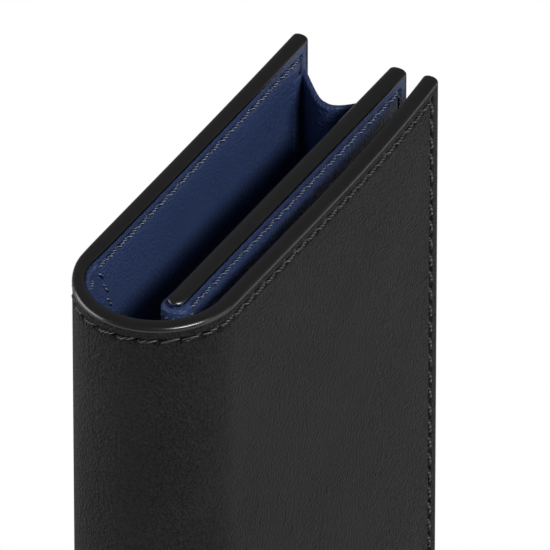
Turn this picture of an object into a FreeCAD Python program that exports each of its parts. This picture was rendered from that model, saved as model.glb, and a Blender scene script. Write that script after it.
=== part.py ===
import FreeCAD, Part
import math
import os

os.makedirs("parts", exist_ok=True)

V = FreeCAD.Vector

# A folding card holder, standing on one short side.
# X runs from the spine to the fore-edge, Y from the front leaf to the back leaf and Z up.
# The origin is at the middle of the bounding box, on the surface the holder stands on.

# ---- driving dimensions, in millimetres and degrees ----
width = 75.0
height = 110.0
thickness = 25.0            # over the leather of both leaves, with the card pocket opened out
skin = 1.2                  # outer leather of the cover
lining = 1.2                # lining leather of the cover
paint = 0.3                 # bead of edge paint on every cut edge
corner_radius = 0.8         # the four fore-edge corners of the cover
least_radius = 0.2          # what is left of a corner far inside the outline
board = 0.5                 # stiffener board in each leaf
board_play = 0.05           # air beside a board
board_margin = 5.0          # from the outline to a board

row_inset = 2.3             # from the outline to the middle of a row of stitches
thread_width = 0.6
thread_rise = 0.1           # how far thread stands above the leather
groove_width = 0.9
groove_depth = 0.25

fold_angle = 45.0           # where each leaf ends on the spine's half circle
fold_gap = 0.15             # air on each side of a fold line

divider_back_y = -2.8
divider_thickness = 2.8
divider_spine_x = -28.4     # the divider's rounded spine end
divider_short = 0.8         # how far it stops under the cover's top and over its foot
divider_board = 1.0
wrap = 0.8                  # gusset leather wrapped round the divider's spine end
wrap_short = 1.2            # from the divider's outline to the wrap

gusset = 0.9                # gusset leather
gusset_fold = 5.4           # depth of the crease of a folded gusset
gusset_top = 5.3            # from the cover's top down to the fore-edge gusset
gusset_clearance = 0.1      # air between a gusset and what it is sewn to
gusset_tip_radius = 0.8
spine_gusset_top = 12.0     # from the cover's top down to the spine-side gusset
spine_gusset_bulge = 1.4
flange_start = 10.0         # the flange lies on the back lining between these two angles
flange_end = 42.0
flange_root_angle = 14.0    # where the side wall leaves the flange, near the back leaf
flange_top = 5.0
flange_thickness = 0.8
flange_seam_angle = 32.0

card_panel = 0.8            # open card pocket on the divider's front face
card_panel_low = 4.0
card_panel_high = 82.0
card_panel_start = -26.0
card_panel_end = 33.5
thumb_radius = 9.0
slip_panel = 0.6            # slip pocket on the front leaf, open towards the spine
slip_panel_start = -14.0
slip_panel_margin = 4.0
panel_row_inset = 1.8

# ---- values that follow ----
outer_radius = thickness / 2
lining_radius = outer_radius - skin
inner_radius = lining_radius - lining
spine_x = -width / 2 + thread_rise + outer_radius    # centre line of the spine's half circle
fore_x = width / 2
fold_radius = outer_radius + thread_rise             # the fold lines lie on the outer surface
gap_angle = math.degrees(fold_gap / outer_radius)
leaf_end_angle = fold_angle - gap_angle
divider_front_y = divider_back_y - divider_thickness
divider_middle_y = divider_back_y - divider_thickness / 2
divider_end_radius = divider_thickness / 2
divider_plate_x = divider_spine_x + divider_end_radius
groove_half = groove_width / 2
thread_half = thread_width / 2
past = 1.0                                           # how far a cutting shape stands past a face


def save(name, shape):
    """Write one sub-part as its own STEP file."""
    tidy = shape.removeSplitter()
    tidy.exportStep("parts/" + name + ".step")
    box = tidy.BoundBox
    print("%-26s solids %d  valid %s  volume %8.1f  box %.2f..%.2f %.2f..%.2f %.2f..%.2f" % (
        name, len(tidy.Solids), tidy.isValid(), tidy.Volume,
        box.XMin, box.XMax, box.YMin, box.YMax, box.ZMin, box.ZMax))


def box_between(x0, x1, y0, y1, z0, z1):
    """A plain box between two corners."""
    return Part.makeBox(x1 - x0, y1 - y0, z1 - z0, V(x0, y0, z0))


def outline_plate(start_x, end_x, low_z, high_z, radius, y0, y1):
    """A plate in the XZ plane, square at start_x and with two rounded corners at end_x."""
    corner = max(radius, least_radius)
    turn = corner * (1 - math.sqrt(0.5))

    def at(x, z):
        return V(x, y0, z)

    edges = [
        Part.LineSegment(at(start_x, low_z), at(end_x - corner, low_z)),
        Part.Arc(at(end_x - corner, low_z), at(end_x - turn, low_z + turn), at(end_x, low_z + corner)),
        Part.LineSegment(at(end_x, low_z + corner), at(end_x, high_z - corner)),
        Part.Arc(at(end_x, high_z - corner), at(end_x - turn, high_z - turn), at(end_x - corner, high_z)),
        Part.LineSegment(at(end_x - corner, high_z), at(start_x, high_z)),
        Part.LineSegment(at(start_x, high_z), at(start_x, low_z)),
    ]
    face = Part.Face(Part.Wire([edge.toShape() for edge in edges]))
    return face.extrude(V(0, y1 - y0, 0))


def on_spine(radius, angle, z):
    """A point on the spine's half circle; angle 0 is where the back leaf ends, 180 the front leaf."""
    turn = math.radians(angle)
    return V(spine_x - radius * math.sin(turn), radius * math.cos(turn), z)


def spine_band(r0, r1, z0, z1, a0, a1):
    """Part of a tube wall round the spine's centre line, between two radii, heights and angles."""
    middle = (a0 + a1) / 2
    edges = [
        Part.Arc(on_spine(r1, a0, z0), on_spine(r1, middle, z0), on_spine(r1, a1, z0)),
        Part.LineSegment(on_spine(r1, a1, z0), on_spine(r0, a1, z0)),
        Part.Arc(on_spine(r0, a1, z0), on_spine(r0, middle, z0), on_spine(r0, a0, z0)),
        Part.LineSegment(on_spine(r0, a0, z0), on_spine(r1, a0, z0)),
    ]
    face = Part.Face(Part.Wire([edge.toShape() for edge in edges]))
    return face.extrude(V(0, 0, z1 - z0))


def leaf_layer(r0, r1, inset):
    """One layer of the back leaf and its share of the spine, inset from the cover's outline."""
    plate = outline_plate(spine_x, fore_x - inset, inset, height - inset, corner_radius - inset, r0, r1)
    bend = spine_band(r0, r1, inset, height - inset, 0, leaf_end_angle)
    return plate.fuse(bend)


def leaf_row(r0, r1, inset, half_width):
    """A C-shaped strip that follows the leaf's outline, such as a row of stitches."""
    return leaf_layer(r0, r1, inset - half_width).cut(leaf_layer(r0, r1, inset + half_width))


def spine_layer(r0, r1, inset):
    """One layer of the middle of the spine."""
    return spine_band(r0, r1, inset, height - inset, fold_angle + gap_angle, 180 - fold_angle - gap_angle)


def spine_row(r0, r1, inset, half_width):
    """A pair of strips near the spine's two ends."""
    return spine_layer(r0, r1, inset - half_width).cut(spine_layer(r0, r1, inset + half_width))


def front_of(shape):
    """The front leaf's copy of a back leaf shape."""
    return shape.mirror(V(0, 0, 0), V(0, 1, 0))


# ---- cover ----

def cover_skin(layer, row):
    """Outer leather with a shallow groove for its stitches."""
    groove = row(outer_radius - groove_depth, outer_radius + past, row_inset, groove_half)
    return layer(lining_radius, outer_radius, paint).cut(groove)


def cover_lining(layer, row):
    """Lining leather with a shallow groove for its stitches."""
    groove = row(inner_radius - past, inner_radius + groove_depth, row_inset, groove_half)
    return layer(inner_radius, lining_radius, paint).cut(groove)


def cover_paint(layer):
    """Bead of edge paint over the cut edges of the leather and the lining."""
    return layer(inner_radius, outer_radius, 0).cut(layer(inner_radius, outer_radius, paint))


def cover_thread(row):
    """The row of stitches outside and the same row inside."""
    outside = row(outer_radius - groove_depth, outer_radius + thread_rise, row_inset, thread_half)
    inside = row(inner_radius - thread_rise, inner_radius + groove_depth, row_inset, thread_half)
    return Part.Compound(outside.Solids + inside.Solids)


def leaf_board(play):
    """The stiffener board of a leaf, or with no play the recess it lies in."""
    return box_between(
        spine_x + play, fore_x - board_margin - play,
        lining_radius - board + play, lining_radius,
        board_margin + play, height - board_margin - play)


def make_cover():
    """Back leaf, spine and front leaf."""
    back_lining = cover_lining(leaf_layer, leaf_row).cut(leaf_board(0))
    leaf = {
        "leather": cover_skin(leaf_layer, leaf_row),
        "lining": back_lining,
        "board": leaf_board(board_play),
        "edge_paint": cover_paint(leaf_layer),
        "edge_thread": cover_thread(leaf_row),
    }
    for piece, shape in leaf.items():
        save("back_" + piece, shape)
        save("front_" + piece, front_of(shape))
    save("spine_leather", cover_skin(spine_layer, spine_row))
    save("spine_lining", cover_lining(spine_layer, spine_row))
    save("spine_edge_paint", cover_paint(spine_layer))
    save("spine_edge_thread", cover_thread(spine_row))


# ---- divider ----

def divider_plate(y0, y1, inset):
    """One layer of the divider without its rounded spine end."""
    return outline_plate(
        divider_plate_x, fore_x - inset, divider_short + inset, height - divider_short - inset,
        corner_radius - inset, y0, y1)


def divider_end(inset):
    """The half-round spine end."""
    low = divider_short + inset
    rod = Part.makeCylinder(
        divider_end_radius, height - 2 * low, V(divider_plate_x, divider_middle_y, low))
    keep = box_between(
        divider_spine_x - past, divider_plate_x, divider_front_y - past, divider_back_y + past, 0, height)
    return rod.common(keep)


def divider_wrap():
    """Half a tube of gusset leather round the spine end."""
    low = divider_short + wrap_short
    long = height - 2 * low
    foot = V(divider_plate_x, divider_middle_y, low)
    outside = Part.makeCylinder(divider_end_radius + wrap, long, foot)
    inside = Part.makeCylinder(divider_end_radius, long, foot)
    keep = box_between(
        divider_spine_x - past, divider_plate_x, divider_front_y - past, divider_back_y + past, 0, height)
    return outside.cut(inside).common(keep)


def divider_body(inset):
    """The whole divider, inset on its top, fore-edge and foot."""
    return divider_plate(divider_front_y, divider_back_y, inset).fuse(divider_end(inset))


def divider_row(y0, y1, half_width):
    """A C-shaped row of stitches on the divider."""
    wide = divider_plate(y0, y1, row_inset - half_width)
    return wide.cut(divider_plate(y0, y1, row_inset + half_width))


def divider_recess(play):
    """The divider's stiffener board, or with no play the recess it lies in."""
    return box_between(
        divider_plate_x + past + play, fore_x - board_margin - play,
        divider_middle_y - divider_board / 2 + play, divider_middle_y + divider_board / 2 - play,
        board_margin + play, height - board_margin - play)


def card_panel_shape():
    """Open pocket panel with a thumb notch in its mouth."""
    panel = box_between(
        card_panel_start, card_panel_end, divider_front_y - card_panel, divider_front_y,
        card_panel_low, card_panel_high)
    middle_x = (card_panel_start + card_panel_end) / 2
    notch = Part.makeCylinder(
        thumb_radius, card_panel + 2 * past,
        V(middle_x, divider_front_y - card_panel - past, card_panel_high), V(0, 1, 0))
    return panel.cut(notch)


def card_panel_thread():
    """U-shaped row of stitches along the closed sides of the card panel."""
    y0 = divider_front_y - card_panel - thread_rise
    y1 = divider_front_y - card_panel
    wide = panel_row_inset - thread_half
    narrow = panel_row_inset + thread_half
    outside = box_between(card_panel_start + wide, card_panel_end - wide, y0, y1,
                          card_panel_low + wide, card_panel_high - wide)
    inside = box_between(card_panel_start + narrow, card_panel_end - narrow, y0 - past, y1 + past,
                         card_panel_low + narrow, card_panel_high)
    return outside.cut(inside)


def make_divider():
    """The middle leaf, with the card panel on its front face."""
    front_groove = divider_row(divider_front_y - past, divider_front_y + groove_depth, groove_half)
    back_groove = divider_row(divider_back_y - groove_depth, divider_back_y + past, groove_half)
    recess = divider_recess(0)
    front = divider_plate(divider_front_y, divider_middle_y, paint).fuse(divider_end(paint))
    save("divider_front_leather", front.cut(front_groove).cut(recess))
    back = divider_plate(divider_middle_y, divider_back_y, paint)
    save("divider_back_leather", back.cut(back_groove).cut(recess))
    save("divider_board", divider_recess(board_play))
    save("divider_spine_wrap", divider_wrap())
    save("divider_edge_paint", divider_body(0).cut(divider_body(paint)))
    front_thread = divider_row(divider_front_y - thread_rise, divider_front_y + groove_depth, thread_half)
    back_thread = divider_row(divider_back_y - groove_depth, divider_back_y + thread_rise, thread_half)
    save("divider_edge_thread", Part.Compound(front_thread.Solids + back_thread.Solids))
    save("divider_card_panel", card_panel_shape())
    save("divider_panel_thread", card_panel_thread())


# ---- front leaf's slip pocket ----

def slip_panel_shape():
    """A thin panel on the front lining, open towards the spine."""
    return box_between(
        slip_panel_start, fore_x - slip_panel_margin, -inner_radius, -inner_radius + slip_panel,
        slip_panel_margin, height - slip_panel_margin)


def slip_panel_thread():
    """C-shaped row of stitches along the slip panel's closed sides."""
    y0 = -inner_radius + slip_panel
    y1 = y0 + thread_rise
    wide = slip_panel_margin + panel_row_inset - thread_half
    narrow = slip_panel_margin + panel_row_inset + thread_half
    outside = box_between(slip_panel_start + panel_row_inset, fore_x - wide, y0, y1, wide, height - wide)
    inside = box_between(slip_panel_start, fore_x - narrow, y0 - past, y1 + past, narrow, height - narrow)
    return outside.cut(inside)


# ---- gussets of the card pocket ----

def folded_strip(start, end, reach, along, to_point):
    """A V-folded strip of gusset leather between two walls, its tip rounded on the pocket side.

    start and end are the places of the two walls across the fold, reach is the depth of the crease,
    and along is the strip's length as a vector. to_point turns (depth, place) into a point.
    """
    middle = (start + end) / 2
    half = abs(start - end) / 2
    step = gusset * math.hypot(reach, half) / half
    corners = [
        to_point(0, start), to_point(reach, middle), to_point(0, end),
        to_point(step, end), to_point(reach + step, middle), to_point(step, start),
    ]
    outline = Part.makePolygon(corners + corners[:1])
    strip = Part.Face(outline).extrude(along)
    ridge_middle = to_point(reach + step, middle) + along * 0.5
    ridge = [edge for edge in strip.Edges if (edge.CenterOfMass - ridge_middle).Length < gusset_clearance]
    return strip.makeFillet(gusset_tip_radius, ridge)


def fore_edge_gusset():
    """The V fold at the fore-edge, its crease pointing into the pocket."""
    low = divider_short
    length = height - gusset_top - low

    def to_point(depth, place):
        return V(fore_x - paint - depth, place, low)

    return folded_strip(
        inner_radius - gusset_clearance, divider_back_y + gusset_clearance, gusset_fold,
        V(0, 0, length), to_point)


def bottom_gusset():
    """The V fold that closes the pocket's floor, its crease pointing up."""
    start_x = spine_x - paint
    length = fore_x - paint - gusset_fold - 3 * gusset - start_x

    def to_point(depth, place):
        return V(start_x, place, divider_short + depth)

    return folded_strip(
        inner_radius - gusset_clearance, divider_back_y + gusset_clearance, gusset_fold,
        V(length, 0, 0), to_point)


def spine_side_gusset():
    """The wall at the spine side and the flange that is sewn to the back lining."""
    flange_outer = inner_radius - gusset_clearance
    flange = spine_band(
        flange_outer - flange_thickness, flange_outer, divider_short, height - flange_top,
        flange_start, flange_end)
    root = on_spine(flange_outer - flange_thickness / 2, flange_root_angle, divider_short)
    foot = V(divider_plate_x, divider_back_y + wrap + gusset_clearance, divider_short)
    middle = (root + foot) * 0.5 - V(spine_gusset_bulge, 0, 0)
    across = V(gusset, 0, 0)
    edges = [
        Part.Arc(root, middle, foot),
        Part.LineSegment(foot, foot + across),
        Part.Arc(foot + across, middle + across, root + across),
        Part.LineSegment(root + across, root),
    ]
    face = Part.Face(Part.Wire([edge.toShape() for edge in edges]))
    wall = face.extrude(V(0, 0, height - spine_gusset_top - divider_short))
    return flange.fuse(wall)


def flange_thread():
    """The upright row of stitches through the flange."""
    radius = inner_radius - gusset_clearance - flange_thickness
    half = math.degrees(thread_half / radius)
    return spine_band(
        radius - thread_rise, radius, divider_short + row_inset, height - flange_top - paint,
        flange_seam_angle - half, flange_seam_angle + half)


make_cover()
make_divider()
save("front_slip_panel", slip_panel_shape())
save("front_panel_thread", slip_panel_thread())
save("gusset_fore_edge", fore_edge_gusset())
save("gusset_bottom", bottom_gusset())
save("gusset_spine_side", spine_side_gusset())
save("gusset_flange_thread", flange_thread())
fold_point = on_spine(fold_radius, fold_angle, 0)
print("back fold line at x %.4f y %.4f" % (fold_point.x, fold_point.y))
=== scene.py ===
# %% [markdown]
# # A folding card holder in black and dark blue leather
# The holder is a strip of leather that runs down the back, round a soft spine and up the front. Black
# leather is outside, dark blue lining inside, and the cut edges carry a domed bead of paint. A stiff
# divider stands between the two leaves. Folded gussets join it to the back leaf and make a card pocket.
#
# The fixed frame comes first: it holds the sizes, the bodies and the joints, and every piece is worked
# out from it. Everything is in metres, so one millimetre gets a name of its own.

# %% Load the frame
import bmesh
import bpy
import numpy as np
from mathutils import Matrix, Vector


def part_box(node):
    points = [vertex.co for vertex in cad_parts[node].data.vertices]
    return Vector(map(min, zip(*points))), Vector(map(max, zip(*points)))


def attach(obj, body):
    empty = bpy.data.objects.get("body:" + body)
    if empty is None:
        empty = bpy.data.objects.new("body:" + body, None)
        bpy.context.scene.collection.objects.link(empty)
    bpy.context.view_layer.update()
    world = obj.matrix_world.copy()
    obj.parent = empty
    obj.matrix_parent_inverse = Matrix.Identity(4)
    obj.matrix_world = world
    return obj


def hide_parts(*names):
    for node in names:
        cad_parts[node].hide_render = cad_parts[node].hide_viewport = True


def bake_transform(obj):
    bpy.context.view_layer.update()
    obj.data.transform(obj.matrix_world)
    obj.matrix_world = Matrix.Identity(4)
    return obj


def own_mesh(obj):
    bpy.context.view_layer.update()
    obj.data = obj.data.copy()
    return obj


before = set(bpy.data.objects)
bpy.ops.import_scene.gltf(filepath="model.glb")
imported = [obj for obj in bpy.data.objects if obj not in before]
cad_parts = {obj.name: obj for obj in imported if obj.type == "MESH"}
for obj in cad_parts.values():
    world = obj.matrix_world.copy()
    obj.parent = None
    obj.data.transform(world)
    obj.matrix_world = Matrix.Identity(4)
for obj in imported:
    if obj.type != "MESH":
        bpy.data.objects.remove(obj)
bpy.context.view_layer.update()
mm = 0.001

# %% [markdown]
# ## The leaf as a sheet that bends
# Both the cover and the divider are flat leaves that run round a bend. One description serves them all:
# a centre line for the bend, a radius, a straight run to the fore-edge, and two ends in height. A point
# on such a leaf has four numbers: the side (+1 for the half towards the back, -1 for the front), the run
# along the leather from the middle of the bend, the height, and the depth out of the middle surface.
# A mesh could be bent with a modifier instead, but a formula keeps stitches, paint and lining exactly
# where the leather is.

# %% Describe the cover and the divider
class Leaf:
    """A leaf folded round an upright line, with its sizes in metres."""

    def __init__(self, centre_x, centre_y, radius, half, end_x, low, high, corner, bows, thinned=0.0):
        self.centre_x = centre_x
        self.centre_y = centre_y
        self.radius = radius
        self.half = half
        self.low = low
        self.high = high
        self.corner = corner
        self.bows = bows
        self.thinned = thinned
        self.bend = radius * np.pi / 2
        self.straight = end_x - centre_x
        self.end = self.bend + self.straight


def bell(distance, width):
    """A bell curve from 1 down to 0: the exponential of minus the square of distance over width."""
    return np.exp(-(distance / width)**2)


def no_bow(share):
    """A straight leaf: nothing is added."""
    return 0 * share


def back_bow(share):
    """The back leaf leans out a little towards its fore-edge: a small part of the cube of the share."""
    return 0.42 * mm * share**3


def front_bow(share):
    """The front leaf swells and then toes in: a square less a cube of the share of its length."""
    return 1.6 * mm * share**2 - 3.1 * mm * share**3


pinch_run = 12 * mm
pinch_width = 5 * mm
cover_extra = 0.4 * mm
divider_extra = 0.9 * mm
paint_low, paint_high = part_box("back_edge_paint")
outer_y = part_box("back_leather")[1].y
middle_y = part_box("back_board")[1].y
cover = Leaf(
    centre_x=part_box("spine_leather")[0].x + outer_y, centre_y=0.0, radius=middle_y, half=outer_y - middle_y,
    end_x=paint_high.x + cover_extra, low=paint_low.z, high=paint_high.z, corner=0.8 * mm,
    bows={1: back_bow, -1: front_bow}, thinned=0.24)
divider_low, divider_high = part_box("divider_edge_paint")
divider_half = (divider_high.y - divider_low.y) / 2
divider = Leaf(
    centre_x=divider_low.x + divider_half, centre_y=(divider_low.y + divider_high.y) / 2,
    radius=divider_half / 2, half=divider_half / 2, end_x=divider_high.x + divider_extra,
    low=divider_low.z, high=divider_high.z, corner=0.8 * mm, bows={1: no_bow, -1: no_bow})


def place(leaf, side, run, z, depth):
    """Points of a leaf.

    The turn round the bend is the run divided by the radius, up to a right angle. Past it the point moves
    straight on along X. The reach from the bend's centre line is radius plus depth plus the leaf's bow.
    The back half is pinched a little where it bends: its depth is scaled by one less a bell of the run.
    """
    if side == 1:
        depth = depth * (1 - leaf.thinned * bell(run - pinch_run, pinch_width))
    turn = np.clip(run / leaf.radius, 0, np.pi / 2)
    past_bend = run - leaf.bend
    straight = np.maximum(past_bend, 0)
    reach = leaf.radius + depth + leaf.bows[side](straight / leaf.straight)
    x = leaf.centre_x - reach * np.cos(turn) + straight
    y = leaf.centre_y + side * reach * np.sin(turn)
    return np.stack(np.broadcast_arrays(x, y, z), axis=-1)


print("cover: bend %.1f mm and straight %.1f mm" % (cover.bend / mm, cover.straight / mm))

# %% [markdown]
# ## Rounded corners on a square grid
# A leaf's outline is a rectangle with two rounded corners. The rest of the work is easiest on a plain
# grid, so the grid stays square and only its corners are turned: nested square outlines become nested
# arcs. The distance in from the outline is kept, which is what the groove and the stitches need.

# %% Turn square corners into arcs
tiny = 1e-7


def round_corner(across, down, radius):
    """Moves points near a corner so that each nested square outline becomes an arc.

    across and down are the distances in from the two edges. The smaller one is the inset and stays the
    inset; how far the point is from the diagonal becomes an angle from 45 to 90 degrees on that arc.
    """
    inset = np.minimum(across, down)
    far = np.maximum(across, down)
    left = np.maximum(radius - inset, tiny)
    angle = np.pi / 4 * (1 + np.clip((far - inset) / left, 0, 1))
    turned = far < radius
    near_edge = np.where(turned, radius - left * np.sin(angle), inset)
    far_edge = np.where(turned, radius - left * np.cos(angle), far)
    first = across < down
    return np.where(first, near_edge, far_edge), np.where(first, far_edge, near_edge)


def on_outline(leaf, run, z):
    """Run and height of grid points after their corners are rounded."""
    across = leaf.end - run
    down = np.minimum(z - leaf.low, leaf.high - z)
    across, down = round_corner(across, down, leaf.corner)
    lower = z < (leaf.low + leaf.high) / 2
    return leaf.end - across, np.where(lower, leaf.low + down, leaf.high - down)


# %% [markdown]
# ## Where the stitches fall
# A row of stitches runs a little way in from the edge. The stitch length is rounded so that a whole
# number fits on each stretch and a hole falls on every corner. The leather dips into a shallow groove
# along the row and into a small pit at each needle hole, and it rolls down at the edge, where it was
# pressed and sanded.

# %% Stitch rows and the relief around them
row_inset = 2.6 * mm
stitch = 3.0 * mm
groove_width = 0.45 * mm
pit_width = 0.36 * mm
pit_length = 0.55 * mm
roll_depth = 0.13 * mm
groove_depth = 0.2 * mm
pit_depth = 0.55 * mm
plain_from = 4 * mm
seam_line = 0.08 * mm


def stretch_counts(leaf):
    """Stitches along one level stretch and along the fore-edge."""
    level = leaf.end - row_inset
    upright = leaf.high - leaf.low - 2 * row_inset
    return round(level / stitch), round(upright / stitch), level, upright


def creasing(leaf, run, z):
    """The groove and the needle pits of a leaf, each as a bell curve from 0 to 1."""
    level_count, upright_count, level, upright = stretch_counts(leaf)
    across = leaf.end - run
    down = np.minimum(z - leaf.low, leaf.high - z)
    inset = np.minimum(across, down)
    level_phase = run / level * level_count
    upright_phase = (z - leaf.low - row_inset) / upright * upright_count
    phase = np.where(down < across, level_phase, upright_phase)
    to_hole = np.abs(phase - np.round(phase)) * stitch
    groove = bell(inset - row_inset, groove_width)
    pit = bell(inset - row_inset, pit_width) * bell(to_hole, pit_length)
    return inset, groove, pit


def relief(leaf, run, z):
    """How far the leather's face lies under its full thickness.

    Each part is a bell curve of the inset: a roll at the edge, a groove at the row, and pits at the
    needle holes, where the bell of the row is multiplied by a bell of the distance to the nearest hole.
    """
    inset, groove, pit = creasing(leaf, run, z)
    roll = roll_depth * bell(inset - 0.3 * mm, 0.6 * mm)
    return roll + groove_depth * groove + pit_depth * pit


def grid_lines(leaf):
    """Grid lines of a leaf: four to a stitch, and closer ones near the edges and the row."""
    level_count, upright_count, level, upright = stretch_counts(leaf)
    near_edge = np.concatenate([np.arange(0.45, 1.7, 0.25), np.arange(1.7, 3.0, 0.15), [3.3, 3.7]]) * mm
    along = np.linspace(0, level, 4 * level_count + 1)
    run = np.concatenate([[seam_line], along[along < leaf.end - plain_from], leaf.end - near_edge, [level]])
    up = np.linspace(leaf.low + row_inset, leaf.high - row_inset, 4 * upright_count + 1)
    middle = up[(up > leaf.low + plain_from) & (up < leaf.high - plain_from)]
    z = np.concatenate([leaf.low + near_edge, middle, leaf.high - near_edge])
    return np.unique(run.round(7)), np.unique(z.round(7))


print("stitches on the cover, level and upright:", stretch_counts(cover)[:2])

# %% [markdown]
# ## Turning grids into pieces
# A grid of points becomes quads between neighbours. A leather piece has two faces, so two grids are
# joined round their rim into one closed shell. The signed volume of the shell tells whether its faces
# point outwards, and a shell that is inside out is turned.

# %% Mesh helpers
sharp_angle = np.radians(60)


def grid_quads(rows, columns, first=0):
    """Index quads of a grid with that many rows and columns of points."""
    index = np.arange(rows * columns).reshape(rows, columns) + first
    corners = [index[:-1, :-1], index[:-1, 1:], index[1:, 1:], index[1:, :-1]]
    return np.stack(corners, axis=-1).reshape(-1, 4)


def rim(rows, columns):
    """Indices round the border of a grid, in order."""
    index = np.arange(rows * columns).reshape(rows, columns)
    return np.concatenate([index[0, :-1], index[:-1, -1], index[-1, :0:-1], index[:0:-1, 0]])


def volume_of(points, quads):
    """Signed volume of a closed shell of quads, as a sum over the two triangles of each."""
    a, b, c, d = (points[quads[:, k]] for k in range(4))
    first = np.einsum("ij,ij->i", a, np.cross(b, c))
    second = np.einsum("ij,ij->i", a, np.cross(c, d))
    return (first.sum() + second.sum()) / 6


def add_piece(name, points, quads, slot):
    """Puts points and quads into a smooth-shaded object whose faces point outwards."""
    points = np.asarray(points, float).reshape(-1, 3)
    if volume_of(points, quads) < 0:
        quads = quads[:, ::-1]
    mesh = bpy.data.meshes.new(name)
    mesh.from_pydata(points.tolist(), [], quads.tolist())
    mesh.validate()
    mesh.polygons.foreach_set("use_smooth", np.ones(len(mesh.polygons), bool))
    mesh.set_sharp_from_angle(angle=sharp_angle)
    mesh.materials.append(finishes[slot])
    piece = bpy.data.objects.new(name, mesh)
    bpy.context.scene.collection.objects.link(piece)
    print("%-24s %6d faces" % (name, len(mesh.polygons)))
    return piece


def paint_groove_shade(piece, amount):
    """Stores painted shade for each point, from 0 to 1: how deep it lies in the stitch groove and needle
    pits, where the leather's colour is darkened as shade.
    """
    values = np.zeros(len(piece.data.vertices), np.float32)
    values[:amount.size] = amount.ravel()
    piece.data.attributes.new("painted_groove_shade", "FLOAT", "POINT").data.foreach_set("value", values)


def shell(top, bottom):
    """Closes two matching grids into one shell: both faces, and a strip round the rim."""
    rows, columns = top.shape[:2]
    count = rows * columns
    border = rim(rows, columns)
    after = np.roll(border, -1)
    strip = np.stack([border, border + count, after + count, after], axis=-1)
    quads = np.concatenate([grid_quads(rows, columns), grid_quads(rows, columns, count)[:, ::-1], strip])
    return np.concatenate([top.reshape(-1, 3), bottom.reshape(-1, 3)]), quads


def weld(piece, distance=2e-6):
    """Merges points that lie on each other, so that poles and seams are closed."""
    work = bmesh.new()
    work.from_mesh(piece.data)
    bmesh.ops.remove_doubles(work, verts=work.verts, dist=distance)
    bmesh.ops.dissolve_degenerate(work, edges=work.edges, dist=distance / 2)
    work.to_mesh(piece.data)
    work.free()
    return piece


# %% [markdown]
# ## Finishes
# The leather is fine-grained calf: small pebbles, finer pores, and a slow change of tone from hand to
# hand. Noises and a cell pattern on Object coordinates give it, so that it stays put on the piece.
# The same recipe serves the black outside and the blue inside with other colours, and darkens the colour
# in the stitch groove and the needle pits as painted shade. The edge paint is smoother and shinier than
# the leather, and the waxed thread has a twist whose crests carry a light colour as painted glints.

# %% Material helpers
class Recipe:
    """A material in the making, whose patterns use the piece's own coordinates in metres."""

    def __init__(self, name):
        self.material = bpy.data.materials.new(name)
        self.material.use_nodes = True
        self.nodes = self.material.node_tree.nodes
        self.links = self.material.node_tree.links
        self.shader = self.nodes["Principled BSDF"]
        self.place_on = self.nodes.new("ShaderNodeTexCoord").outputs["Object"]

    def node(self, kind, values, wires):
        """Adds a node, sets its plain values and wires other outputs into it."""
        node = self.nodes.new(kind)
        for name, value in values.items():
            node.inputs[name].default_value = value
        for name, source in wires.items():
            self.links.new(source, node.inputs[name])
        return node

    def noise(self, scale, detail=3.0, roughness=0.55):
        """A noise pattern of that many features to the metre."""
        values = {"Scale": scale, "Detail": detail, "Roughness": roughness}
        return self.node("ShaderNodeTexNoise", values, {"Vector": self.place_on}).outputs["Fac"]

    def ramp(self, value, low, high, first, second):
        """Maps a value between low and high onto two colours."""
        node = self.node("ShaderNodeValToRGB", {}, {"Fac": value})
        for element, position, colour in zip(node.color_ramp.elements, (low, high), (first, second)):
            element.position = position
            element.color = (*colour, 1)
        return node.outputs["Color"]

    def spread(self, value, low, high):
        """Maps a pattern from 0..1 onto low..high."""
        node = self.node("ShaderNodeMapRange", {"To Min": low, "To Max": high}, {"Value": value})
        return node.outputs["Result"]

    def bump(self, height, distance, strength, under=None):
        """A bump of that height in metres, laid over another one if given."""
        wires = {"Height": height} if under is None else {"Height": height, "Normal": under}
        node = self.node("ShaderNodeBump", {"Distance": distance, "Strength": strength}, wires)
        return node.outputs["Normal"]

    def finish(self, colour, normal, roughness, shine):
        """Wires the three patterns into the shader and sets how strongly it shines."""
        self.links.new(colour, self.shader.inputs["Base Color"])
        self.links.new(normal, self.shader.inputs["Normal"])
        self.links.new(roughness, self.shader.inputs["Roughness"])
        self.shader.inputs["Specular IOR Level"].default_value = shine
        return self.material


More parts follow.
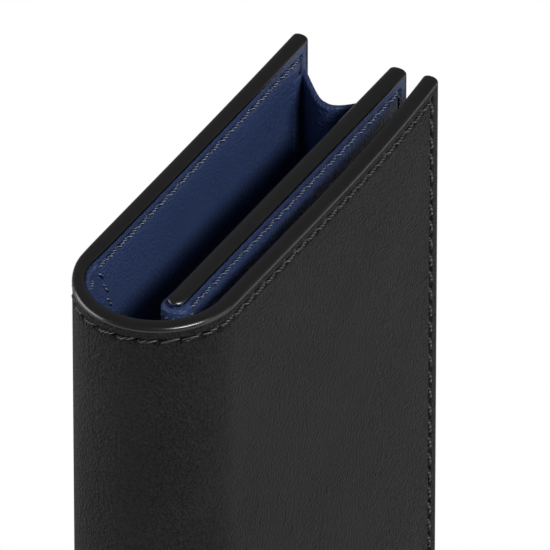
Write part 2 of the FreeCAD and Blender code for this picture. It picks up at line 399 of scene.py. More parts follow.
def leather(name, dark, light, roughness, shine, grain):
    """Fine calf: cells for pebbles, fine noise for pores, slow noise for tone, and painted shade in the
    stitch groove and needle pits, read from a point attribute.
    """
    pebbles, pore_count, crease_count, mottles, tones = 2600, 3600, 750, 2200, 70  # to the metre
    recipe = Recipe(name)
    recipe.place_on = recipe.node(
        "ShaderNodeMapping", {"Scale": (0.85, 0.85, 1.0)}, {"Vector": recipe.place_on}).outputs["Vector"]
    cells = recipe.node("ShaderNodeTexVoronoi", {}, {"Vector": recipe.place_on})
    cells.feature = "SMOOTH_F1"
    cells.inputs["Scale"].default_value = pebbles
    cells.inputs["Smoothness"].default_value = 0.6
    pores = recipe.noise(pore_count, 4.0)
    creases = recipe.noise(crease_count, 5.0, 0.65)
    tone = recipe.noise(tones)
    mottle = recipe.noise(mottles, 3.0, 0.7)
    shades = recipe.node("ShaderNodeMath", {}, {})
    shades.operation = "ADD"
    recipe.links.new(recipe.spread(tone, 0.0, 0.3), shades.inputs[0])
    recipe.links.new(recipe.spread(mottle, 0.0, 0.7), shades.inputs[1])
    soft = recipe.bump(creases, 0.18 * mm, grain)
    pebbled = recipe.bump(cells.outputs["Distance"], 0.6 * mm, grain, soft)
    # Painted shade: the colour is mixed towards a tenth of the dark colour where the groove-and-pit attribute
    # is high.
    painted_groove_shade = recipe.node("ShaderNodeAttribute", {}, {})
    painted_groove_shade.attribute_name = "painted_groove_shade"
    shaded_colour = recipe.node("ShaderNodeMix", {}, {})
    shaded_colour.data_type = "RGBA"
    recipe.links.new(painted_groove_shade.outputs["Fac"], shaded_colour.inputs["Factor"])
    recipe.links.new(recipe.ramp(shades.outputs[0], 0.36, 0.64, dark, light), shaded_colour.inputs["A"])
    shaded_colour.inputs["B"].default_value = (*[c * 0.1 for c in dark], 1)
    return recipe.finish(shaded_colour.outputs["Result"], recipe.bump(pores, 0.2 * mm, grain, pebbled),
                         recipe.spread(creases, roughness - 0.07, roughness + 0.07), shine)


def painted_edge(name, colour, roughness, shine):
    """Edge paint: smooth, slightly wavy from the brush, with fine specks."""
    recipe = Recipe(name)
    waves = recipe.noise(260, 2.0)
    soft = recipe.bump(waves, 0.06 * mm, 0.5)
    shades = recipe.ramp(waves, 0.3, 0.7, [c * 0.85 for c in colour], [c * 1.15 for c in colour])
    return recipe.finish(shades, recipe.bump(recipe.noise(3500, 2.0), 0.01 * mm, 0.5, soft),
                         recipe.spread(waves, roughness - 0.05, roughness + 0.05), shine)


def thread(name, dark, light, shine):
    """Waxed thread: a slanted wave for the twist of its strands, whose crests also carry the light colour as
    painted glints.
    """
    recipe = Recipe(name)
    twist = recipe.node("ShaderNodeTexWave", {"Scale": 900, "Distortion": 1.0}, {"Vector": recipe.place_on})
    twist.bands_direction = "DIAGONAL"
    fibres = recipe.noise(5000, 2.0)
    strands = recipe.bump(twist.outputs["Fac"], 0.2 * mm, 1.0)
    # Painted glints: the light colour is laid on the crests of the twist, over the dark thread.
    return recipe.finish(recipe.ramp(twist.outputs["Fac"], 0.7, 0.97, dark, light),
                         recipe.bump(fibres, 0.03 * mm, 0.5, strands),
                         recipe.spread(fibres, 0.22, 0.4), shine)


def board(name):
    """Grey-brown board with pressed fibres."""
    recipe = Recipe(name)
    fibres = recipe.noise(900, 6.0, 0.7)
    colour = recipe.ramp(fibres, 0.3, 0.7, (0.26, 0.22, 0.16), (0.4, 0.34, 0.25))
    recipe.links.new(colour, recipe.shader.inputs["Base Color"])
    recipe.links.new(recipe.bump(fibres, 0.05 * mm, 0.5), recipe.shader.inputs["Normal"])
    recipe.shader.inputs["Roughness"].default_value = 0.9
    return recipe.material


finishes = {
    "outer_leather": leather(
        "black calf", (0.0012, 0.0012, 0.0013), (0.018, 0.018, 0.0185), 0.5, 0.25, 1.0),
    "lining_leather": leather(
        "dark blue calf", (0.033, 0.057, 0.153), (0.057, 0.092, 0.228), 0.43, 0.45, 0.4),
    "edge_paint": painted_edge("black edge paint", (0.004, 0.004, 0.0042), 0.26, 1.0),
    # The second colour of each thread is its painted glint at the twist's crests.
    "black_thread": thread("black waxed thread", (0.0015, 0.0015, 0.0015), (0.2, 0.2, 0.202), 1.0),
    "blue_thread": thread("blue waxed thread", (0.02, 0.034, 0.09), (0.42, 0.47, 0.6), 0.9),
    "board": board("pressed board")}

# %% [markdown]
# ## The cover's leather and lining
# Each half of the cover is one sheet from the middle of the spine to the fore-edge. The outer leather
# and the lining are separate shells glued on the middle surface.

# %% Cover sheets
glue_gap = 0.02 * mm
board_low, board_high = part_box("back_board")
board_thickness = board_high.y - board_low.y
board_run = (cover.bend, board_high.x - cover.centre_x + cover.bend)
recess_slope = 0.6 * mm
run_lines, z_lines = grid_lines(cover)
cover_run, cover_z = np.meshgrid(run_lines, z_lines)
side_name = {1: "back", -1: "front"}


def bend_with_cover(piece):
    """Applies the piece's transform to its mesh, so that it lies in place with no transform of its own."""
    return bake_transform(piece)


def board_recess(run, z):
    """Share of the recess's full depth: it rises evenly from nothing within a short slope of its border."""
    from_run = np.minimum(run - board_run[0], board_run[1] - run)
    from_z = np.minimum(z - board_low.z, board_high.z - z)
    return np.clip(np.minimum(from_run, from_z) / recess_slope + 1, 0, 1)


def cover_sheet(side, direction):
    """One leather of one half: direction +1 is the outer leather and -1 the lining, which hides the board."""
    run, z = on_outline(cover, cover_run, cover_z)
    face = direction * (cover.half - relief(cover, cover_run, cover_z))
    seen = place(cover, side, run, z, face)
    hollow = board_thickness * board_recess(cover_run, cover_z) if direction < 0 else 0 * cover_run
    glued = place(cover, side, run, z, direction * (glue_gap + hollow))
    return shell(seen, glued)


# Painted shade in the stitch groove and at the needle pits, stored on both leathers of each half.
_, groove_bell, pit_bell = creasing(cover, cover_run, cover_z)
pit_and_groove_shade = np.clip(0.6 * groove_bell + 0.9 * pit_bell, 0, 1)
for side in (1, -1):
    name = side_name[side]
    outside = add_piece(name + "_cover_leather", *cover_sheet(side, 1), "outer_leather")
    paint_groove_shade(outside, pit_and_groove_shade)
    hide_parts(name + "_leather")
    bend_with_cover(outside)
    inside = add_piece(name + "_cover_lining", *cover_sheet(side, -1), "lining_leather")
    paint_groove_shade(inside, pit_and_groove_shade)
    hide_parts(name + "_lining")
    if side == 1:
        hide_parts("spine_leather")
        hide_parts("spine_lining")
    bend_with_cover(inside)

# %% [markdown]
# ## The painted edge
# Edge paint is laid on in coats until it stands up as a soft dome over the cut leather. The bead is a
# small profile carried along the outline: flat-topped, round at its shoulders, and lapping just over
# the rolled leather on each side. A bevel on the leather would not give that lap.

# %% Bead along an outline
bead_height = 0.85 * mm
dome_power = 0.85
bead_root = 1.15 * mm
root_sunk = 0.25 * mm


def outline_path(leaf, inset):
    """Run and height along the C-shaped outline at each inset: foot, corner, fore-edge, corner, top.

    A corner is a quarter circle whose radius is the leaf's corner less the inset.
    """
    level_steps = round(leaf.end / (0.7 * mm))
    upright_steps = round((leaf.high - leaf.low) / (2.5 * mm))
    corner_turns = np.linspace(0, np.pi / 2, 13)[1:-1]
    reach = np.maximum(leaf.corner - inset, 0)
    centre = np.maximum(leaf.corner, inset)
    far = np.max(centre)
    level = np.concatenate([[0, seam_line], np.linspace(0, leaf.end - far, level_steps)[1:]])
    up = np.linspace(leaf.low + far, leaf.high - far, upright_steps)
    runs = np.concatenate([
        level[:, None] + 0 * inset,
        leaf.end - centre + np.sin(corner_turns)[:, None] * reach,
        0 * up[:, None] + leaf.end - inset,
        leaf.end - centre + np.cos(corner_turns)[:, None] * reach,
        level[::-1, None] + 0 * inset])
    heights = np.concatenate([
        0 * level[:, None] + leaf.low + inset,
        leaf.low + centre - np.cos(corner_turns)[:, None] * reach,
        up[:, None] + 0 * inset,
        leaf.high - centre + np.sin(corner_turns)[:, None] * reach,
        0 * level[:, None] + leaf.high - inset])
    return runs, heights


def dome(half_width, turns):
    """Inset and depth over the dome, a superellipse: powers of a sine and a cosine."""
    depth = half_width * np.sign(np.sin(turns)) * np.abs(np.sin(turns))**dome_power
    rise = np.abs(np.cos(turns))**dome_power
    return bead_height * (1 - rise), depth


def tube_quads(rings, sides):
    """Quads of a closed tube of rings, with a flat cap at each end made of quads across it."""
    index = np.arange(rings * sides).reshape(rings, sides)
    after = np.roll(index, -1, axis=1)
    wall = np.stack([index[:-1], after[:-1], after[1:], index[1:]], axis=-1).reshape(-1, 4)
    half = sides // 2
    caps = []
    for ring, flip in ((index[0], False), (index[-1], True)):
        low = ring[:half]
        high = ring[::-1][:half]
        cap = np.stack([low[:-1], high[:-1], high[1:], low[1:]], axis=-1)
        caps.append(cap[:, ::-1] if flip else cap)
    return np.concatenate([wall, *caps])


def cover_bead(side):
    """The bead of one half of the cover as a closed tube."""
    inset, depth = dome(cover.half + 0.06 * mm, np.linspace(-np.pi / 2, np.pi / 2, 17))
    root_depth = (cover.half - root_sunk) * np.array([1.0, 0.5, -0.5, -1.0])
    inset = np.append(inset, np.full(5, bead_root))
    depth = np.concatenate([depth, root_depth, [0.2 * mm - cover.half]])
    run, z = outline_path(cover, inset)
    points = place(cover, side, run, z, depth)
    return points, tube_quads(*points.shape[:2])


for side in (1, -1):
    name = side_name[side]
    bead = add_piece(name + "_painted_edge", *cover_bead(side), "edge_paint")
    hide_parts(name + "_edge_paint")
    if side == 1:
        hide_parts("spine_edge_paint")
    bend_with_cover(bead)

# %% [markdown]
# ## Stitches
# Each stitch is a short length of waxed thread that comes up through one hole and goes down through the
# next. It stands proud in its middle and dives at both ends, and it lies at a slight slant, because
# the holes are slanted slits. All stitches of a row are computed at once from the two arrays of holes.

# %% Rows of stitches
thread_radius = 0.24 * mm
stitch_sides = 6
stitch_along = np.array([-1.0, -0.86, -0.5, 0.0, 0.5, 0.86, 1.0])
stitch_girth = np.array([0.35, 0.8, 1.0, 1.0, 1.0, 0.8, 0.35])
stitch_slant = 0.3 * mm


def stitches(starts, ends, outward, lift=0.07 * mm, dive=0.5 * mm, thickness=1.0):
    """Points and quads of one stitch for each pair of holes.

    The centre line runs from hole to hole. Its height is the lift less the dive times the fourth power
    of the share along it, and it leans across the row by the slant. Rings of six points follow it.
    """
    along = ends - starts
    length = np.linalg.norm(along, axis=-1, keepdims=True)
    along = along / length
    across = np.cross(outward, along)
    share = stitch_along[None, :, None]
    centre = (starts + ends)[:, None] / 2 + along[:, None] * share * length[:, None] * 0.47
    centre = centre + outward[:, None] * (lift - dive * share**4) + across[:, None] * stitch_slant * share
    turns = np.arange(stitch_sides) * 2 * np.pi / stitch_sides
    spokes = np.cos(turns)[:, None] * outward[:, None, None] + np.sin(turns)[:, None] * across[:, None, None]
    points = centre[:, :, None] + spokes * thread_radius * thickness * stitch_girth[None, :, None, None]
    count = len(starts)
    one = tube_quads(len(stitch_along), stitch_sides)
    step = len(stitch_along) * stitch_sides
    quads = (one[None] + step * np.arange(count)[:, None, None]).reshape(-1, 4)
    return points.reshape(-1, 3), quads


def row_holes(leaf, first_run=0.0):
    """Run and height of the needle holes along the foot, the fore-edge and the top."""
    level_count, upright_count, level, upright = stretch_counts(leaf)
    runs = np.linspace(0, level, level_count + 1)
    runs = runs[runs >= first_run]
    ups = np.linspace(leaf.low + row_inset, leaf.high - row_inset, upright_count + 1)
    low, high = leaf.low + row_inset, leaf.high - row_inset
    run = np.concatenate([runs, np.full(upright_count - 1, level), runs[::-1]])
    z = np.concatenate([np.full(len(runs), low), ups[1:-1], np.full(len(runs), high)])
    return run, z


def row_of_stitches(leaf, side, depth, run, z, shown=None, width=1.0):
    """Stitches between neighbouring holes on one face; depth is signed, positive outside.

    shown tells for each hole whether the stitch that starts there is kept.
    """
    holes = place(leaf, side, run, z, depth)
    over = place(leaf, side, run, z, depth + np.sign(depth) * mm)
    outward = (over - holes) / mm
    middle = outward[:-1] + outward[1:]
    middle = middle / np.linalg.norm(middle, axis=-1, keepdims=True)
    kept = np.ones(len(middle), bool) if shown is None else shown[:-1] & shown[1:]
    return stitches(holes[:-1][kept], holes[1:][kept], middle[kept], thickness=width)


def join(parts):
    """Joins several (points, quads) pairs into one."""
    points = [np.asarray(p).reshape(-1, 3) for p, _ in parts]
    starts = np.cumsum([0] + [len(p) for p in points[:-1]])
    return np.concatenate(points), np.concatenate([q + s for (_, q), s in zip(parts, starts)])


thread_sunk = 0.12 * mm
groove_floor = cover.half - thread_sunk
flange_thickness = 1.0 * mm
flange_left = 9.5 * mm
flange_right = (17.0 * mm, 21.6 * mm)


def flange_cover(run, z):
    """How much the gusset's flange raises the inner row, which is sewn through it at the top and foot."""
    high = z > (cover.low + cover.high) / 2
    covered = (run > flange_left) & (run < np.where(high, flange_right[0] + 0.5 * mm, flange_right[1]))
    return np.where(covered, flange_thickness, 0)


hole_run, hole_z = row_holes(cover)
for side in (1, -1):
    name = side_name[side]
    outer_row = row_of_stitches(cover, side, groove_floor, hole_run, hole_z)
    rows = add_piece(name + "_outer_stitches", *outer_row, "black_thread")
    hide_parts(name + "_edge_thread")
    if side == 1:
        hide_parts("spine_edge_thread")
    bend_with_cover(rows)
    raised = flange_cover(hole_run, hole_z) if side == 1 else 0 * hole_run
    upright = (hole_run > cover.end - 3 * mm) & (hole_z > 3 * mm)
    shown = ~(upright & (hole_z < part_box("gusset_fore_edge")[1].z)) if side == 1 else None
    inner_row = row_of_stitches(cover, side, -groove_floor - raised, hole_run, hole_z, shown)
    rows = add_piece(name + "_inner_stitches", *inner_row, "blue_thread")
    bend_with_cover(rows)

# %% [markdown]
# ## The divider
# The divider is a stiff leaf covered in blue leather. Its skin runs over the back face, round the
# rounded spine end and over the front face, so it is made as one closed skin: one grid whose signed run
# goes from the back's fore-edge round to the front's, closed across the top, the foot and the fore-edge.

# %% Divider skin
divider_runs, divider_zs = grid_lines(divider)


def divider_skin():
    """The skin's grid and the quads that close it from the back face to the front face."""
    run, z = np.meshgrid(divider_runs, divider_zs)
    face = divider.half - relief(divider, run, z) * np.clip(run / (4 * mm), 0, 1)
    placed_run, placed_z = on_outline(divider, run, z)
    back_face = place(divider, 1, placed_run, placed_z, face)
    front_face = place(divider, -1, placed_run, placed_z, face)
    points = np.concatenate([back_face[:, :0:-1], front_face], axis=1)
    rows, columns = points.shape[:2]
    index = np.arange(rows * columns).reshape(rows, columns)
    mirrored = index[:, ::-1]
    half = columns // 2
    closing = [np.stack([index[:-1, 0], index[1:, 0], mirrored[1:, 0], mirrored[:-1, 0]], axis=-1)]
    for row, flip in ((0, False), (-1, True)):
        strip = np.stack([index[row, :half], mirrored[row, :half],
                          mirrored[row, 1:half + 1], index[row, 1:half + 1]], axis=-1)
        closing.append(strip[:, ::-1] if flip else strip)
    return points, np.concatenate([grid_quads(rows, columns), *closing])


skin = weld(add_piece("divider_leather", *divider_skin(), "lining_leather"))
skin_points = np.array([v.co for v in skin.data.vertices])
# Painted shade on the divider's skin in the stitch groove and needle pits, past its spine end.
_, groove_bell, pit_bell = creasing(
    divider, np.maximum(skin_points[:, 0] - divider.centre_x, 0) + divider.bend, skin_points[:, 2])
paint_groove_shade(skin, np.where(skin_points[:, 0] > divider.centre_x + mm, 0.5 * groove_bell + 0.6 * pit_bell, 0))
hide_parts("divider_front_leather", "divider_back_leather")
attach(skin, "divider")

# %% [markdown]
# The divider's painted edge is one bead over both faces. It is made as two half beads, from the face to
# the middle, which meet along the middle and sweep together round the rounded spine end.

# %% Divider bead, stitches and wrap
def half_bead(side):
    """Half of the bead: from the middle over the dome to the face and back under to the middle."""
    inset, depth_from_middle = dome(2 * divider.half + 0.02 * mm, np.linspace(0, np.pi / 2, 10))
    depth = depth_from_middle - divider.half
    inset = np.concatenate([inset, [bead_root, bead_root]])
    depth = np.concatenate([depth, [divider.half - root_sunk, -divider.half]])
    run, z = outline_path(divider, inset)
    points = place(divider, side, run, z, depth)
    quads = grid_quads(*points.shape[:2])
    return points, quads if side == 1 else quads[:, ::-1]


both_beads = join([half_bead(1), half_bead(-1)])
bead = weld(add_piece("divider_painted_edge", *both_beads, "edge_paint"))
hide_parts("divider_edge_paint")
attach(bead, "divider")

divider_floor = divider.half - thread_sunk
wrap_thickness = 0.85 * mm
wrap_leg = 0.9 * mm
hole_run, hole_z = row_holes(divider)
past_wrap = hole_run > divider.bend + wrap_leg / 2
divider_rows = [row_of_stitches(divider, side, divider_floor, hole_run, hole_z, past_wrap)
                for side in (1, -1)]
wrap_run = np.append(np.linspace(0, divider.bend, 4), divider.bend + wrap_leg)
wrap_z = np.full_like(wrap_run, divider.high - row_inset)
over_wrap = divider.half + wrap_thickness - thread_sunk
divider_rows += [row_of_stitches(divider, side, over_wrap, wrap_run, wrap_z) for side in (1, -1)]
rows = add_piece("divider_stitches", *join(divider_rows), "blue_thread")
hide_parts("divider_edge_thread")
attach(rows, "divider")

# %% [markdown]
# The spine-side gusset ends in a strip that is wrapped round the divider's spine end and sewn through.
# It is a thin sheet whose thickness dies away to nothing at its rim, so the rim comes out round.

# %% Thin leather with a round rim
def close_lines(length, spacing, rim_width):
    """Grid lines over a length: even spacing, with a few closer lines near both ends."""
    steps = max(2, round(length / spacing))
    near = rim_width * np.array([0.0, 0.08, 0.3, 0.6, 1.0])
    inner = np.linspace(rim_width, length - rim_width, steps)
    return np.unique(np.concatenate([near, inner, length - near]).round(8))


def rim_thickness(across, down, across_length, down_length, rim_width):
    """Share of the full thickness: a quarter ellipse of the distance to the nearest border."""
    inset = np.minimum(np.minimum(across, across_length - across), np.minimum(down, down_length - down))
    near = 1 - np.clip(inset / rim_width, 0, 1)
    return np.sqrt(np.clip(1 - near**2, 0, 1))


def end_thickness(down, height, rim_width):
    """The same share for a sheet whose only free borders are its two ends in height."""
    return rim_thickness(down, down, height, height, rim_width)


wrap_rim = 0.4 * mm
wrap_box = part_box("divider_spine_wrap")
wrap_length = 2 * (divider.bend + wrap_leg)
wrap_height = wrap_box[1].z - wrap_box[0].z


def divider_wrap():
    """The wrap: signed run round the spine end, thickness dying away at its rim and at its legs."""
    across, down = np.meshgrid(close_lines(wrap_length, 0.3 * mm, wrap_rim),
                               close_lines(wrap_height, 1.5 * mm, wrap_rim))
    signed = across - wrap_length / 2
    thick = wrap_thickness * rim_thickness(across, down, wrap_length, wrap_height, wrap_rim)
    z = wrap_box[0].z + down
    base = divider.half - 0.05 * mm
    faces = []
    for depth in (base + thick, np.full_like(thick, base)):
        back_face = place(divider, 1, np.abs(signed), z, depth)
        front_face = place(divider, -1, np.abs(signed), z, depth)
        faces.append(np.where((signed > 0)[..., None], front_face, back_face))
    return shell(*faces)


wrap = weld(add_piece("divider_end_wrap", *divider_wrap(), "lining_leather"))
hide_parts("divider_spine_wrap")
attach(wrap, "divider")

# %% [markdown]
# ## Gussets
# The fore-edge gusset is a strip folded into a V. Its crease points into the pocket and is soft, so the
# depth across the gap is a V whose tip is rounded by taking the root of a square plus a small square.
# Its first stretch lies flat on the back leaf.

# %% Fore-edge gusset
gusset_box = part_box("gusset_fore_edge")
gusset_thickness = 0.95 * mm
gusset_depth = 5.7 * mm
gusset_belly = 1.0 * mm
gusset_set_back = 0.5 * mm
tip_softness = 0.22
pocket_gap = gusset_box[1].y - gusset_box[0].y


def soft_fold(share, softness):
    """A V over the share 0..1 across the gap: 0 at both ends, 1 at the tip, with the tip rounded."""
    from_tip = np.sqrt((2 * share - 1)**2 + softness**2)
    at_end = np.sqrt(1 + softness**2)
    return (at_end - from_tip) / (at_end - softness)


def fore_gusset():
    """The folded strip: a sheet over the share across the gap and the height.

    Its depth is the soft V, and on the divider's half a belly that follows a sine.
    """
    height = gusset_box[1].z - gusset_box[0].z
    reach_out = back_bow(1.0)
    gap = pocket_gap + reach_out
    across, down = np.meshgrid(close_lines(gap, 0.3 * mm, 0.1 * mm),
                               close_lines(height, 2.0 * mm, 0.5 * mm))
    share = across / gap
    belly = gusset_belly * np.sin(np.pi * np.clip(2 * share - 1, 0, 1))
    depth = gusset_depth * soft_fold(share, tip_softness) + belly
    thick = gusset_thickness * end_thickness(down, height, 0.25 * mm)
    slope = np.hypot(2 * gusset_depth / gap, 1)
    y = gusset_box[1].y + reach_out - across
    z = gusset_box[0].z + down
    middle_x = gusset_box[1].x - gusset_set_back - depth - gusset_thickness * slope / 2
    outer = np.stack([middle_x + thick * slope / 2, y, z], axis=-1)
    inner = np.stack([middle_x - thick * slope / 2, y, z], axis=-1)
    return shell(outer, inner)


def fold_with_pocket(piece):
    """Gives a gusset its own copy of its mesh."""
    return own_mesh(piece)


gusset = weld(add_piece("fore_edge_gusset", *fore_gusset(), "lining_leather"))
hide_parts("gusset_fore_edge")
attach(gusset, "back")
fold_with_pocket(gusset)


def on_back_lining(run, z, thick, sunk):
    """A thin sheet on the back lining, its glued face sunk in by a little."""
    depth = sunk - cover.half + 0 * thick
    return shell(place(cover, 1, run, z, depth - thick), place(cover, 1, run, z, depth))


def fore_flange():
    """The strip of the gusset that is glued flat to the lining, over the inner row of stitches."""
    width = 4.2 * mm
    height = gusset_box[1].z - gusset_box[0].z
    across, down = np.meshgrid(close_lines(width, 0.3 * mm, 0.3 * mm),
                               close_lines(height, 2.0 * mm, 0.3 * mm))
    thick = 0.35 * mm * rim_thickness(across, down, width, height, 0.3 * mm)
    return on_back_lining(cover.end - 0.9 * mm - width + across, gusset_box[0].z + down, thick, 0.1 * mm)


glued_strip = weld(add_piece("fore_edge_flange", *fore_flange(), "lining_leather"))
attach(glued_strip, "back")

# %% [markdown]
# The bottom gusset is the same fold lying along the pocket's floor, with its crease pointing up.

# %% Bottom gusset
floor_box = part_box("gusset_bottom")


def bottom_gusset():
    """The folded strip of the floor: a sheet over the share across the gap and the run along X."""
    length = floor_box[1].x - floor_box[0].x
    gap = floor_box[1].y - floor_box[0].y
    across, along = np.meshgrid(close_lines(gap, 0.4 * mm, 0.1 * mm), close_lines(length, 3.0 * mm, 0.5 * mm))
    share = across / gap
    rise = gusset_depth * soft_fold(share, tip_softness)
    y = floor_box[1].y - across
    x = floor_box[0].x + along
    under = np.stack([x, y, floor_box[0].z + rise], axis=-1)
    over = np.stack([x, y, floor_box[0].z + rise + gusset_thickness], axis=-1)
    return shell(under, over)


floor_fold = add_piece("bottom_gusset", *bottom_gusset(), "lining_leather")
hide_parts("gusset_bottom")
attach(floor_fold, "back")
fold_with_pocket(floor_fold)

# %% [markdown]
# The spine-side gusset is a wall between the back leaf and the divider's spine end. It bellies out a
# little towards the spine. Its root is caught under a flange that is sewn flat to the back lining.

# %% Spine-side gusset
inner_radius = outer_y - 2 * cover.half
flange_outer = inner_radius - 0.05 * mm
flange_slant = 14.0 * mm
flange_top = cover.high - 0.7 * mm
wall_top = cover.high - 12.0 * mm
wall_root_turn = np.radians(14.0)
wall_belly = 1.5 * mm


def spine_wall():
    """The wall: a sheet over the share from root to foot and the height, bowed out by a sine of the share."""
    root = np.array([cover.centre_x - (flange_outer - 0.4 * mm) * np.sin(wall_root_turn),
                     (flange_outer - 0.4 * mm) * np.cos(wall_root_turn)])
    foot = np.array([divider.centre_x, divider_high.y + wrap_thickness - 0.1 * mm])
    low = divider.low
    height = wall_top - low
    share, down = np.meshgrid(close_lines(1.0, 0.05, 0.02), close_lines(height, 2.0 * mm, 0.5 * mm))
    across = (foot - root) / np.linalg.norm(foot - root)
    outward = np.array([across[1], -across[0]])
    line = root + share[..., None] * (foot - root) + wall_belly * np.sin(np.pi * share)[..., None] * outward
    thick = gusset_thickness / 2 * end_thickness(down, height, 0.5 * mm)
    faces = []
    for direction in (1, -1):
        xy = line + direction * thick[..., None] * outward
        faces.append(np.concatenate([xy, (low + down)[..., None]], axis=-1))
    return shell(*faces)


wall = weld(add_piece("spine_side_gusset", *spine_wall(), "lining_leather"))
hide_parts("gusset_spine_side")
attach(wall, "back")
fold_with_pocket(wall)


# %% [markdown]
# The flange is the strip of the gusset that is glued and sewn to the back lining. Its free edge slants
# away from the spine under the top and then runs straight down, and its seam follows that edge.

# %% Flange and its stitches
def flange_edge(z):
    """Run of the flange's free edge: it starts near the spine at the top and slants out to its full width.

    The slant is a share of the depth under the top, eased so that the edge ends upright.
    """
    eased = np.clip((flange_top - z) / flange_slant, 0, 1)
    return flange_right[0] + (flange_right[1] - flange_right[0]) * (1 - (1 - eased)**1.6)


def flange_sheet():
    """The flange on the back lining: a sheet over its width and height, thinning to a round rim."""
    height = flange_top - divider.low
    steps = np.unique(np.concatenate([
        close_lines(height, 2.0 * mm, 0.3 * mm), height - np.linspace(0.3, 12, 24) * mm]).round(8))
    share, down = np.meshgrid(close_lines(1.0, 0.04, 0.03), steps)
    width = flange_edge(divider.low + down) - flange_left
    across = share * width
    thick = flange_thickness * rim_thickness(across, down, width, height, 0.2 * mm)
    return on_back_lining(flange_left + across, divider.low + down, thick, 0.06 * mm)


def bend_with_lining(piece):
    """Applies the piece's transform to its mesh."""
    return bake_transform(piece)


flange = weld(add_piece("gusset_flange", *flange_sheet(), "lining_leather"))
bend_with_lining(flange)
seam_count = round((flange_top - divider.low) / stitch)
seam_z = np.linspace(flange_top - 1.0 * mm, divider.low + row_inset, seam_count)
seam_run = flange_edge(seam_z) - 0.6 * mm
seam = row_of_stitches(cover, 1, -(cover.half + flange_thickness - 0.08 * mm), seam_run, seam_z)
seam_row = add_piece("flange_stitches", *seam, "blue_thread")
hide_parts("gusset_flange_thread")
bend_with_lining(seam_row)

# %% [markdown]
# ## Boards and pocket panels
# A thin board stiffens each leaf of the cover. It lies in its recess in the lining and takes the
# leaf's slight bow, so it is bent with the same formula.

# %% Boards of the two leaves
def straight_run(leaf, x):
    """The run of a point on the straight part of a leaf, from its X."""
    return x - leaf.centre_x + leaf.bend


def leaf_board(side):
    """A board in the lining of one leaf: a closed shell over the run and the height."""
    play = 0.05 * mm
    run, z = np.meshgrid(np.linspace(board_run[0] + play, board_run[1] - play, 25),
                         np.linspace(board_low.z + play, board_high.z - play, 3))
    faces = [place(cover, side, run, z, depth) for depth in (-glue_gap - play, -board_thickness + play)]
    return shell(*faces)


for side in (1, -1):
    name = side_name[side]
    stiffener = add_piece(name + "_stiffener", *leaf_board(side), "board")
    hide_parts(name + "_board")
    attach(stiffener, name)

# %% [markdown]
# The card panel is an open pocket on the divider's front face, with a half-round notch for the thumb.
# Its mouth follows a half circle taken at equal angles, so the sheet's lines stay evenly spread.

# %% Card panel
panel_low, panel_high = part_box("divider_card_panel")
panel_thickness = 0.8 * mm
thumb_radius = 9.0 * mm
panel_row = 1.8 * mm


def panel_sheet(leaf, side, sign, runs, low, tops, thickness):
    """A thin panel on a leaf's face from one height up to a height given for each run."""
    share = close_lines(1.0, 1.0 / 40, 0.006)
    run = np.broadcast_to(runs, (len(share), len(runs)))
    tops = np.broadcast_to(tops, run.shape)
    z = low + share[:, None] * (tops - low)
    rim_width = 0.3 * mm
    width, height = runs[-1] - runs[0], np.max(tops) - low
    thick = thickness * rim_thickness(run - runs[0], z - low, width, height, rim_width)
    thick = np.minimum(thick, thickness * np.sqrt(np.clip((tops - z) / rim_width, 0, 1)))
    top_face = place(leaf, side, run, z, sign * (leaf.half + thick))
    return shell(top_face, place(leaf, side, run, z, np.full_like(thick, sign * (leaf.half - 0.02 * mm))))


def card_panel():
    """The card panel, whose mouth dips by a half circle in the middle."""
    start, end = straight_run(divider, panel_low.x), straight_run(divider, panel_high.x)
    middle = (start + end) / 2
    notch = middle - thumb_radius * np.cos(np.linspace(0, np.pi, 25))
    left = start + close_lines(notch[0] - start, 2 * mm, 0.3 * mm)
    right = notch[-1] + close_lines(end - notch[-1], 2 * mm, 0.3 * mm)
    runs = np.unique(np.concatenate([left, notch, right]).round(8))
    dip = np.sqrt(np.clip(thumb_radius**2 - (runs - middle)**2, 0, None))
    return panel_sheet(divider, -1, 1, runs, panel_low.z, panel_high.z - dip, panel_thickness)


def corner_path(corners):
    """Holes along a path of (run, height) corners: a whole number of stitches on each stretch."""
    path = []
    for first, second in zip(corners[:-1], corners[1:]):
        first, second = np.array(first), np.array(second)
        count = max(1, round(float(np.linalg.norm(second - first)) / stitch))
        path.append(first + np.linspace(0, 1, count + 1)[:-1, None] * (second - first))
    path.append(np.array(corners[-1])[None])
    return np.concatenate(path)


panel = weld(add_piece("card_panel", *card_panel(), "lining_leather"))
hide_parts("divider_card_panel")
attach(panel, "divider")
panel_start = straight_run(divider, panel_low.x) + panel_row
panel_end = straight_run(divider, panel_high.x) - panel_row
panel_foot = panel_low.z + panel_row
panel_head = panel_high.z - panel_row
panel_holes = corner_path([(panel_start, panel_head), (panel_start, panel_foot),
                           (panel_end, panel_foot), (panel_end, panel_head)])
panel_seam = row_of_stitches(divider, -1, divider.half + panel_thickness - thread_sunk, *panel_holes.T)
panel_rows = add_piece("card_panel_stitches", *panel_seam, "blue_thread")
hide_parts("divider_panel_thread")
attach(panel_rows, "divider")

# %% [markdown]
# The slip panel on the inside of the front leaf is open towards the spine and takes that leaf's bow.

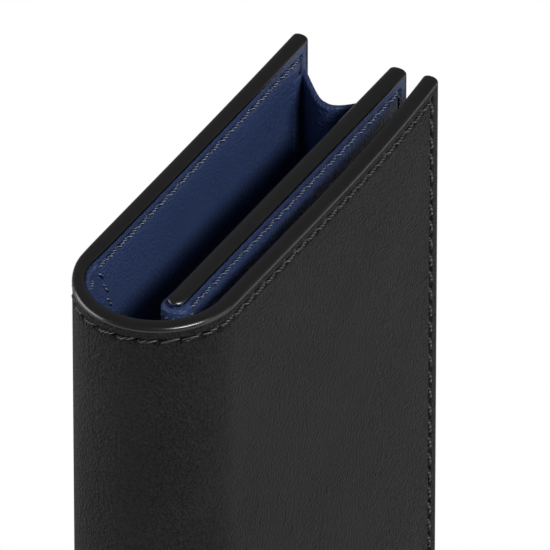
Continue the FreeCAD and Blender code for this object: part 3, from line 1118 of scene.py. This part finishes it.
# %% Slip panel
slip_low, slip_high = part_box("front_slip_panel")
slip_thickness = 0.6 * mm
slip_start, slip_end = straight_run(cover, slip_low.x), straight_run(cover, slip_high.x)
slip_runs = slip_start + close_lines(slip_end - slip_start, 2 * mm, 0.3 * mm)
slip_sheet = panel_sheet(cover, -1, -1, slip_runs, slip_low.z, slip_high.z, slip_thickness)
slip = weld(add_piece("slip_panel", *slip_sheet, "lining_leather"))
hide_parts("front_slip_panel")
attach(slip, "front")
slip_foot = slip_low.z + panel_row
slip_head = slip_high.z - panel_row
slip_holes = corner_path([(slip_start + panel_row, slip_foot), (slip_end - panel_row, slip_foot),
                          (slip_end - panel_row, slip_head), (slip_start + panel_row, slip_head)])
slip_seam = row_of_stitches(cover, -1, -(cover.half + slip_thickness - thread_sunk), *slip_holes.T)
slip_rows = add_piece("slip_panel_stitches", *slip_seam, "blue_thread")
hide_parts("front_panel_thread")
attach(slip_rows, "front")

# %% [markdown]
# The divider's stiffener board lies hidden and flat, so the frame's own board stays, with its material.

# %% Carried-over board
hidden_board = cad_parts["divider_board"]
hidden_board.data.materials.clear()
hidden_board.data.materials.append(finishes["board"])

# %% [markdown]
# ## Light, floor and camera
# The floor is pale, and floor and surroundings read as plain white to the camera. They light the
# leather as a matt floor in a dim studio would.

# %% Stage
def white_to_camera(nodes, links, output, lit):
    """Mixes a shader with plain white, which only the camera sees."""
    path = nodes.new("ShaderNodeLightPath")
    mix = nodes.new("ShaderNodeMixShader")
    plain = nodes.new("ShaderNodeEmission" if output.type == "OUTPUT_MATERIAL" else "ShaderNodeBackground")
    links.new(path.outputs["Is Camera Ray"], mix.inputs["Fac"])
    links.new(lit, mix.inputs[1])
    links.new(plain.outputs[0], mix.inputs[2])
    plain.inputs["Color"].default_value = (1, 1, 1, 1)
    plain.inputs["Strength"].default_value = 1.0
    links.new(mix.outputs["Shader"], output.inputs["Surface"])


floor_recipe = Recipe("pale floor")
floor_recipe.shader.inputs["Base Color"].default_value = (0.8, 0.8, 0.8, 1)
floor_recipe.shader.inputs["Roughness"].default_value = 0.9
floor_recipe.shader.inputs["Specular IOR Level"].default_value = 0.0
white_to_camera(floor_recipe.nodes, floor_recipe.links, floor_recipe.nodes["Material Output"],
                floor_recipe.shader.outputs["BSDF"])
floor_mesh = bpy.data.meshes.new("floor")
floor_reach = 6.0
floor_mesh.from_pydata([(-floor_reach, -floor_reach, 0), (floor_reach, -floor_reach, 0),
                        (floor_reach, floor_reach, 0), (-floor_reach, floor_reach, 0)], [], [(0, 1, 2, 3)])
floor_mesh.materials.append(floor_recipe.material)
floor = bpy.data.objects.new("floor", floor_mesh)
bpy.context.scene.collection.objects.link(floor)

# %% [markdown]
# Three soft lamps: a narrow one high in front draws the bead's shoulder, a broad one low in front lights
# the outer leather, and a broad one behind on the spine's side draws the spine's outline.

# %% Lamps
def softbox(name, direction, distance, width, height, power):
    """A rectangular area lamp in a direction from the holder's middle, pointing at it."""
    middle = Vector((0.0, 0.0, (cover.low + cover.high) / 2))
    direction = Vector(direction).normalized()
    lamp = bpy.data.lights.new(name, "AREA")
    lamp.shape = "RECTANGLE"
    lamp.size = width
    lamp.size_y = height
    lamp.energy = power
    holder = bpy.data.objects.new(name, lamp)
    holder.location = middle + direction * distance
    holder.rotation_euler = direction.to_track_quat("Z", "Y").to_euler()
    bpy.context.scene.collection.objects.link(holder)
    return holder


softbox("key lamp", (-0.25, -0.66, 0.72), 1.2, 0.5, 0.16, 8.0)
softbox("front lamp", (0.25, -0.95, 0.15), 1.2, 0.9, 0.9, 1.8)
softbox("left lamp", (-0.4, 1.0, 0.0), 1.0, 1.0, 1.0, 9.0)
world = bpy.data.worlds.new("studio")
world.use_nodes = True
nodes, links = world.node_tree.nodes, world.node_tree.links
nodes["Background"].inputs["Color"].default_value = (1, 1, 1, 1)
nodes["Background"].inputs["Strength"].default_value = 0.13
white_to_camera(nodes, links, nodes["World Output"], nodes["Background"].outputs[0])
bpy.context.scene.world = world
bpy.context.scene.view_settings.view_transform = "Standard"

# %% [markdown]
# ## Where it is seen from
# A long lens far away keeps upright edges upright. It looks down on the spine's corner, so that the
# pocket, the divider and the outer leather all show.

# %% Camera
view_azimuth = np.radians(-60.6)
view_elevation = np.radians(35.8)
view_distance = 2.5
view_target = np.array([0.0090, 0.0, 0.0889])
seen_width = 79.3 * mm
towards_camera = np.array([
    np.sin(view_azimuth) * np.cos(view_elevation),
    -np.cos(view_azimuth) * np.cos(view_elevation),
    np.sin(view_elevation)])
camera_data = bpy.data.cameras.new("camera")
camera_data.sensor_width = 36.0
camera_data.lens = camera_data.sensor_width * view_distance / seen_width
camera_data.clip_end = 50.0
camera = bpy.data.objects.new("camera", camera_data)
camera.location = view_target + towards_camera * view_distance
camera.rotation_euler = Vector(towards_camera).to_track_quat("Z", "Y").to_euler()
bpy.context.scene.collection.objects.link(camera)
bpy.context.scene.camera = camera
